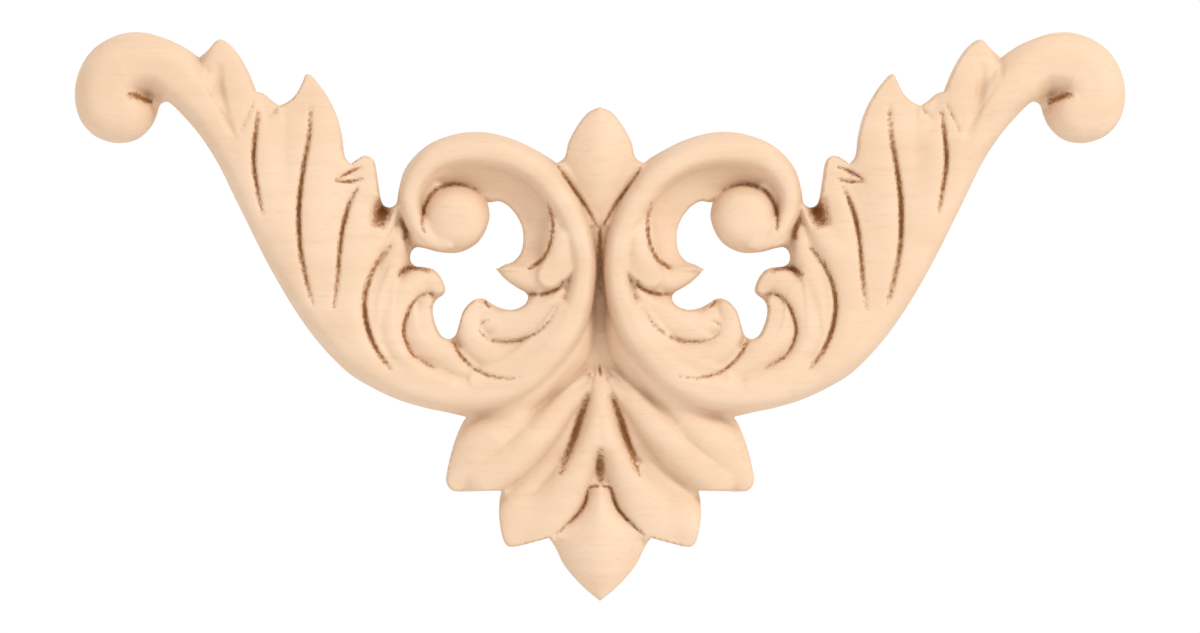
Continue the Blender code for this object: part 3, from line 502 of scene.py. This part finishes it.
def beside(line, places, reach):
    """What lies within reach of the line: which places, with their distance, side, way along, half width."""
    low = line[:, :2].min(axis=0) - reach
    high = line[:, :2].max(axis=0) + reach
    near = np.flatnonzero(np.all((places >= low) & (places <= high), axis=1))
    spot = places[near]
    lengths = np.hypot(*np.diff(line[:, :2], axis=0).T)
    way = np.concatenate([[0.0], np.cumsum(lengths)]) / lengths.sum()
    distance = np.full(len(near), np.inf)
    side = np.ones(len(near))
    part = np.zeros(len(near))
    half = np.zeros(len(near))
    for i in np.flatnonzero(lengths):
        length = lengths[i]
        step = line[i + 1] - line[i]
        away = spot - line[i, :2]
        t = np.clip(away @ step[:2] / length ** 2, 0.0, 1.0)
        off = away - t[:, None] * step[:2]
        gap = np.hypot(off[:, 0], off[:, 1])
        closer = gap < distance
        turn = step[0] * off[:, 1] - step[1] * off[:, 0]
        distance = np.where(closer, gap, distance)
        side = np.where(closer, np.where(turn >= 0, 1.0, -1.0), side)
        part = np.where(closer, way[i] + t * (way[i + 1] - way[i]), part)
        if line.shape[1] > 2:
            half = np.where(closer, line[i, 2] + t * step[2], half)
    return near, distance, side, part, half


def joined(runs):
    """The smooth runs of an outline as one row of points, where each run ends at the start of the next."""
    return np.vstack([smooth_line(run) for run in runs.values()])


def inside_loop(places, loop):
    """Whether each place is inside the closed loop of points."""
    inside = np.zeros(len(places), dtype=bool)
    for start, end in zip(loop, np.roll(loop, -1, axis=0)):
        if start[1] == end[1]:
            continue
        crosses = (start[1] > places[:, 1]) != (end[1] > places[:, 1])
        where = start[0] + (places[:, 1] - start[1]) * (end[0] - start[0]) / (end[1] - start[1])
        inside ^= crosses & (places[:, 0] < where)
    return inside


def inside_depth(places):
    """How far each place lies inside the wood, negative outside it, out to RIM_ROUND on either hand."""
    depth = np.full(len(places), RIM_ROUND)
    in_wood = np.ones(len(places), dtype=bool)
    for line, wood_is_inside in ((joined(OUTLINE), True), (joined(GAP), False)):
        near, distance, *_ = beside(line, places, RIM_ROUND)
        depth[near] = np.minimum(depth[near], distance)
        in_wood &= inside_loop(places + (TOUCHING, 0.0), line) == wood_is_inside
    return np.where(in_wood, depth, -depth)


def add_band(total, places, line, crest, section, edges):
    """Adds one strip or bed to the running soft maximum of their heights."""
    near, distance, side, part, half = beside(line, places, line[:, 2].max() + RIM_ROUND)
    across = np.minimum(distance / half, 1.0)
    edge = edges[0] + (edges[1] - edges[0]) * (1 + side * across) / 2
    top = np.interp(part, np.linspace(0, 1, len(crest)), crest)
    rise = top if section is HOLLOW else top - edge
    height = RELIEF * (edge + rise * (1 - across ** section[0]) ** (1 / section[1]))
    height += EDGE_FALL * np.minimum(half - distance, 0.0)
    total[near] += np.exp(height / BLEND)


def rim_limit(depth):
    """The most height that the rounding of the outline leaves at each depth inside it."""
    inward = 1 - np.clip(depth / RIM_ROUND, 0.0, 1.0)
    return RIM + RELIEF * np.sqrt(1 - inward ** 2)


def cut_fade(part, deepest):
    """A cut's strength along its length: full where it is deepest, fading to nothing at both ends."""
    return np.maximum(np.minimum(part / deepest, (1 - part) / (1 - deepest)), 0.0) ** CUT_FADE


def carved_height(places):
    """Height of the carving over each place."""
    total = np.full(len(places), np.exp(FLOOR / BLEND))
    for strip in STRIPS.values():
        line = smooth_line(strip["points"])
        add_band(total, places, line, strip["crest"], strip["section"], strip["edges"])
    for height, points in BEDS.values():
        add_band(total, places, smooth_line(points), (height, height), ROUND, (height, height))
    limit = rim_limit(inside_depth(places))
    height = -BLEND * np.log(1 / total + np.exp(-limit / BLEND))
    for half_width, depth, deepest, points in CUTS.values():
        width = half_width * UNIT
        near, distance, _, part, _ = beside(smooth_line(points), places, DISH_END * DISH_WIDTH * width)
        cut = np.maximum(1 - (distance / (CUT_SPREAD * width)) ** 2, 0.0) ** 2
        dish = DISH_DEPTH * np.exp(-(distance / (DISH_WIDTH * width)) ** 2)
        height[near] -= depth * UNIT * cut_fade(part, deepest) * (cut + dish)
    return np.maximum(height, THINNEST)


def plan_places(verts):
    return np.array([vert.co.xz for vert in verts])


def grid_over_half(bm):
    """A flat grid over the right half, with its first column on the middle line."""
    outline = joined(OUTLINE)
    across = int(np.ceil(outline[:, 0].max() / CELL)) + SPARE_CELLS
    bottom = int(np.floor(outline[:, 1].min() / CELL)) - SPARE_CELLS
    top = int(np.ceil(outline[:, 1].max() / CELL)) + SPARE_CELLS
    bmesh.ops.create_grid(bm, x_segments=across, y_segments=top - bottom, size=1.0)
    for vert in bm.verts:
        vert.co.z = (bottom + (vert.co.y + 1) / 2 * (top - bottom)) * CELL
        vert.co.x = (vert.co.x + 1) / 2 * across * CELL
        vert.co.y = 0.0


def snap_to_outline(bm):
    """Moves the grid's corners that are nearly on the outline onto it, and returns each corner's depth."""
    places = plan_places(bm.verts)
    probe = PROBE * CELL
    depth = inside_depth(places)
    close = np.flatnonzero(np.abs(depth) < SNAP * CELL)
    for _ in range(SNAP_STEPS):
        spot = places[close]
        here = inside_depth(spot)
        slope = np.stack([
            inside_depth(spot + (probe, 0.0)) - here,
            inside_depth(spot + (0.0, probe)) - here,
        ], axis=1) / probe
        slope[spot[:, 0] < probe, 0] = 0.0
        steepness = np.maximum((slope ** 2).sum(axis=1), LEAST_SLOPE)
        places[close] = spot - (here / steepness)[:, None] * slope
    depth[close] = 0.0
    for vert, (x, z) in zip(bm.verts, places):
        vert.co.x = x
        vert.co.z = z
    return depth


def trim_to_outline(bm):
    """Cuts the grid along the outline and drops what lies outside."""
    depth = snap_to_outline(bm)
    bm.verts.ensure_lookup_table()
    bm.verts.index_update()
    on_outline = [vert for vert in bm.verts if depth[vert.index] == 0.0]
    crossing = []
    for edge in bm.edges:
        inner, outer = sorted(edge.verts, key=lambda vert: -depth[vert.index])
        if depth[inner.index] > 0 > depth[outer.index]:
            crossing.append((edge, inner, outer))
    near = plan_places([inner for _, inner, _ in crossing])
    far = plan_places([outer for _, _, outer in crossing])
    low = np.zeros(len(crossing))
    high = np.ones(len(crossing))
    for _ in range(HALVINGS):
        middle = (low + high) / 2
        outside = inside_depth(near + middle[:, None] * (far - near)) < 0
        high = np.where(outside, middle, high)
        low = np.where(outside, low, middle)
    for (edge, inner, _), t in zip(crossing, low):
        _, vert = bmesh.utils.edge_split(edge, inner, t)
        on_outline.append(vert)
    bmesh.ops.connect_verts(bm, verts=on_outline)
    centres = np.array([face.calc_center_median().xz for face in bm.faces])
    outside = [face for face, inside in zip(bm.faces, inside_depth(centres)) if inside < 0]
    bmesh.ops.delete(bm, geom=outside, context="FACES")
    drop_pinched_slivers(bm)


def drop_pinched_slivers(bm):
    """Drops the smallest face wherever the rim touches itself at one corner."""
    while True:
        pinched = [vert for vert in bm.verts if sum(edge.is_boundary for edge in vert.link_edges) > 2]
        if not pinched:
            return
        slivers = {min(vert.link_faces, key=lambda face: face.calc_area()) for vert in pinched}
        bmesh.ops.delete(bm, geom=list(slivers), context="FACES")


def raise_carving(bm):
    for vert, height in zip(bm.verts, carved_height(plan_places(bm.verts))):
        vert.co.y = -height


def close_back(bm):
    """Walls from the rim straight back, and the flat back between them."""
    rim = [edge for edge in bm.edges if edge.is_boundary]
    walls = bmesh.ops.extrude_edge_only(bm, edges=rim)["geom"]
    back_edges = [item for item in walls if isinstance(item, bmesh.types.BMEdge) and item.is_boundary]
    for edge in rim + back_edges:
        edge.smooth = False
    for item in walls:
        if isinstance(item, bmesh.types.BMVert):
            item.co.y = 0.0
    bmesh.ops.triangle_fill(bm, edges=back_edges, use_beauty=True, use_dissolve=False)
    bmesh.ops.recalc_face_normals(bm, faces=bm.faces)


def cut_marks_and_shade(places):
    """How strongly each place is marked by a cut, from 0 to 1: its torn fibres, and brown that is partly burn
    and partly painted shade.
    """
    mark = np.zeros(len(places))
    for half_width, depth, deepest, points in CUTS.values():
        width = half_width * UNIT
        near, distance, _, part, _ = beside(smooth_line(points), places, MARK_END * width)
        strength = np.clip((depth / half_width - SHALLOW_CUT) / (STEEP_CUT - SHALLOW_CUT), 0.0, 1.0)
        along = strength * cut_fade(part, deepest) ** MARK_FADE
        mark[near] = np.maximum(mark[near], along * np.exp(-(distance / (MARK_SPREAD * width)) ** 2))
    return mark


def painted_hollow_shade(mesh, places):
    """How far each point lies below the wood around it, as parts of DEEP_HOLLOW, from 0 to 1, for the shade
    painted there.
    """
    height = np.array([-vert.co.y for vert in mesh.vertices])
    ends = np.array([edge.vertices for edge in mesh.edges if all(height[end] > 0 for end in edge.vertices)])
    ends = np.vstack([ends, ends[:, ::-1]])
    count = np.maximum(np.bincount(ends[:, 0], minlength=len(height)), 1)
    around = height.copy()
    for _ in range(round((HOLLOW_REACH / CELL) ** 2)):
        beyond = np.bincount(ends[:, 0], weights=around[ends[:, 1]], minlength=len(height)) / count
        around = (around + beyond) / 2
    away_from_rim = np.clip(inside_depth(places) / RIM_ROUND, 0.0, 1.0)
    return away_from_rim * np.clip((around - height) / DEEP_HOLLOW, 0.0, 1.0)


def on_back(vert):
    """Whether a corner lies on the flat back, and not on the carved face."""
    return vert.co.y > -THINNEST / 2


def roughen(mesh, marks):
    """Wood fibres torn along the cuts, and the faint unevenness of a surface finished by hand."""
    for vert, mark in zip(mesh.vertices, marks):
        if on_back(vert):
            continue
        fibre = noise.noise(Vector(vert.co[i] * FIBRES[i] for i in range(3)))
        swell = noise.noise(vert.co * SWELLS)
        vert.co.y += TORN_DEPTH * mark * fibre + SWELL_DEPTH * swell


def carve_onlay():
    """The whole onlay as one closed mesh, which carries how far each point is marked by a cut and how deep it
    sits below the wood around it, for the painted shade.
    """
    bm = bmesh.new()
    grid_over_half(bm)
    trim_to_outline(bm)
    raise_carving(bm)
    bmesh.ops.mirror(bm, geom=bm.verts[:] + bm.edges[:] + bm.faces[:], axis="X", merge_dist=TOUCHING)
    close_back(bm)
    mesh = bpy.data.meshes.new("carved_onlay")
    bm.to_mesh(mesh)
    bm.free()
    places = np.array([(abs(vert.co.x), vert.co.z) for vert in mesh.vertices])
    carved = np.array([not on_back(vert) for vert in mesh.vertices])
    marks = cut_marks_and_shade(places) * carved
    roughen(mesh, marks)
    for name, values in (("cut", marks), ("hollow_shade", painted_hollow_shade(mesh, places))):
        mesh.attributes.new(name, "FLOAT", "POINT").data.foreach_set("value", values.astype(np.float32))
    mesh.shade_smooth()
    piece = bpy.data.objects.new("carved_onlay", mesh)
    bpy.context.scene.collection.objects.link(piece)
    return piece


def feed(socket, value):
    """Links what another node puts out to the socket, or sets a constant there."""
    if isinstance(value, bpy.types.NodeSocket):
        socket.id_data.links.new(value, socket)
    else:
        socket.default_value = value


def clouds(tree, texture):
    """Soft noise over the onlay, drawn out along the grain."""
    drawn_out, scale, detail = texture
    stretch = tree.nodes.new("ShaderNodeMapping")
    feed(stretch.inputs["Vector"], tree.nodes.new("ShaderNodeTexCoord").outputs["Object"])
    feed(stretch.inputs["Scale"], (1.0, drawn_out, drawn_out))
    node = tree.nodes.new("ShaderNodeTexNoise")
    feed(node.inputs["Vector"], stretch.outputs["Vector"])
    feed(node.inputs["Scale"], scale)
    feed(node.inputs["Detail"], detail)
    return node.outputs["Fac"]


def carried(tree, name):
    """The value of this name that the mesh carries at its points."""
    node = tree.nodes.new("ShaderNodeAttribute")
    node.attribute_name = name
    return node.outputs["Fac"]


def ramp(value, low, high, first=0.0, last=1.0):
    """Runs from first to last while the value runs from low to high."""
    node = value.id_data.nodes.new("ShaderNodeMapRange")
    feed(node.inputs["Value"], value)
    feed(node.inputs["From Min"], low)
    feed(node.inputs["From Max"], high)
    feed(node.inputs["To Min"], first)
    feed(node.inputs["To Max"], last)
    return node.outputs["Result"]


def reckoned(operation, first, second):
    node = first.id_data.nodes.new("ShaderNodeMath")
    node.operation = operation
    feed(node.inputs[0], first)
    feed(node.inputs[1], second)
    return node.outputs["Value"]


def mixed(under, over, amount):
    """One colour over another, as strongly as the amount says."""
    node = amount.id_data.nodes.new("ShaderNodeMix")
    node.data_type = "RGBA"
    feed(node.inputs["Factor"], amount)
    feed(node.inputs[MIX_UNDER], under)
    feed(node.inputs[MIX_OVER], over)
    return node.outputs[MIX_RESULT]


def tinted(under, tint, value):
    colour, low, high, strength = tint
    return mixed(under, colour, reckoned("MULTIPLY", ramp(value, low, high), strength))


def burnt_and_shaded_cuts(tree, colour):
    """The colour with ragged brown laid along the cuts, partly the burn of the cutter and partly painted
    shade.
    """
    cut = carried(tree, "cut")
    torn = reckoned("ADD", cut, ramp(clouds(tree, TORN_FIBRES), *FIBRE_CONTRAST))
    return mixed(colour, CUT_BURN_AND_SHADE, reckoned("MULTIPLY", ramp(torn, *BROWNED), ramp(cut, *IN_CUT)))


def bump(height, strength, distance):
    node = height.id_data.nodes.new("ShaderNodeBump")
    feed(node.inputs["Height"], height)
    feed(node.inputs["Strength"], strength)
    feed(node.inputs["Distance"], distance)
    return node.outputs["Normal"]


def bare_wood():
    """Unfinished pale hardwood with its grain across the onlay, brown in the cuts that is partly tool burn
    and partly painted shade, and painted shade in the hollows.
    """
    material = bpy.data.materials.new("bare_wood_carved")
    material.use_nodes = True
    tree = material.node_tree
    shader = tree.nodes["Principled BSDF"]
    bands = clouds(tree, BANDS)
    pores = clouds(tree, PORES)
    colour = tinted(PALE_WOOD, WARM_BANDS, bands)
    colour = tinted(colour, BROWN_STREAKS, clouds(tree, STREAKS))
    colour = tinted(colour, BROWN_PORES, pores)
    colour = tinted(colour, WARM_PATCHES, clouds(tree, PATCHES))
    # painted shade: browner where a place lies below the wood around it
    colour = tinted(colour, PAINTED_SHADE_IN_HOLLOWS, carried(tree, "hollow_shade"))
    # the cuts' brown: partly burn, partly painted shade, stronger the steeper the cut
    feed(shader.inputs["Base Color"], burnt_and_shaded_cuts(tree, colour))
    feed(shader.inputs["Roughness"], ramp(bands, 0.0, 1.0, *ROUGHNESS))
    feed(shader.inputs["Specular IOR Level"], SPECULAR)
    feed(shader.inputs["Normal"], bump(pores, PORE_BUMP, PORE_DEPTH))
    return material


def pale_floor():
    material = bpy.data.materials.new("pale_floor")
    material.use_nodes = True
    shader = material.node_tree.nodes["Principled BSDF"]
    feed(shader.inputs["Base Color"], FLOOR_COLOUR)
    feed(shader.inputs["Roughness"], FLOOR_ROUGHNESS)
    return material


def add_floor():
    bpy.ops.mesh.primitive_circle_add(
        vertices=FLOOR_SIDES, radius=FLOOR_RADIUS, fill_type="NGON", location=(0.0, 0.0, FLOOR_LEVEL))
    floor = bpy.context.object
    floor.name = "floor"
    floor.data.materials.append(pale_floor())


def add_camera(low, high):
    """Straight in front of the carved face, with the onlay filling most of the picture."""
    middle = (low + high) / 2
    lens = bpy.data.cameras.new("camera")
    lens.sensor_width = SENSOR_WIDTH
    lens.lens = SENSOR_WIDTH * CAMERA_DISTANCE / ((high.x - low.x) / PICTURE_FILL)
    lens.clip_start = CLIP_START
    lens.clip_end = CLIP_END
    camera = bpy.data.objects.new("camera", lens)
    camera.location = (middle.x, low.y - CAMERA_DISTANCE, middle.z)
    camera.rotation_euler = (np.radians(90), 0.0, 0.0)
    bpy.context.scene.collection.objects.link(camera)
    bpy.context.scene.camera = camera


def add_key_light():
    """A round soft light from the upper right, turned towards the onlay."""
    light = bpy.data.lights.new("key", "AREA")
    light.shape = "DISK"
    light.size = KEY_SIZE
    light.energy = KEY_POWER
    lamp = bpy.data.objects.new("key", light)
    lamp.location = KEY_PLACE
    lamp.rotation_euler = (-Vector(KEY_PLACE)).to_track_quat("-Z", "Y").to_euler()
    bpy.context.scene.collection.objects.link(lamp)


def add_world_light():
    world = bpy.data.worlds.new("studio")
    world.use_nodes = True
    background = world.node_tree.nodes["Background"]
    feed(background.inputs["Color"], WHITE)
    feed(background.inputs["Strength"], WORLD_LIGHT)
    bpy.context.scene.world = world
    bpy.context.scene.view_settings.view_transform = "Standard"


def main():
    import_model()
    low, high = (Vector(corner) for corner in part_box(NODE))
    add_camera(low, high)
    add_world_light()
    add_key_light()
    add_floor()
    piece = carve_onlay()
    piece.data.materials.append(bare_wood())
    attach(piece, "root")
    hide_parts(NODE)


main()
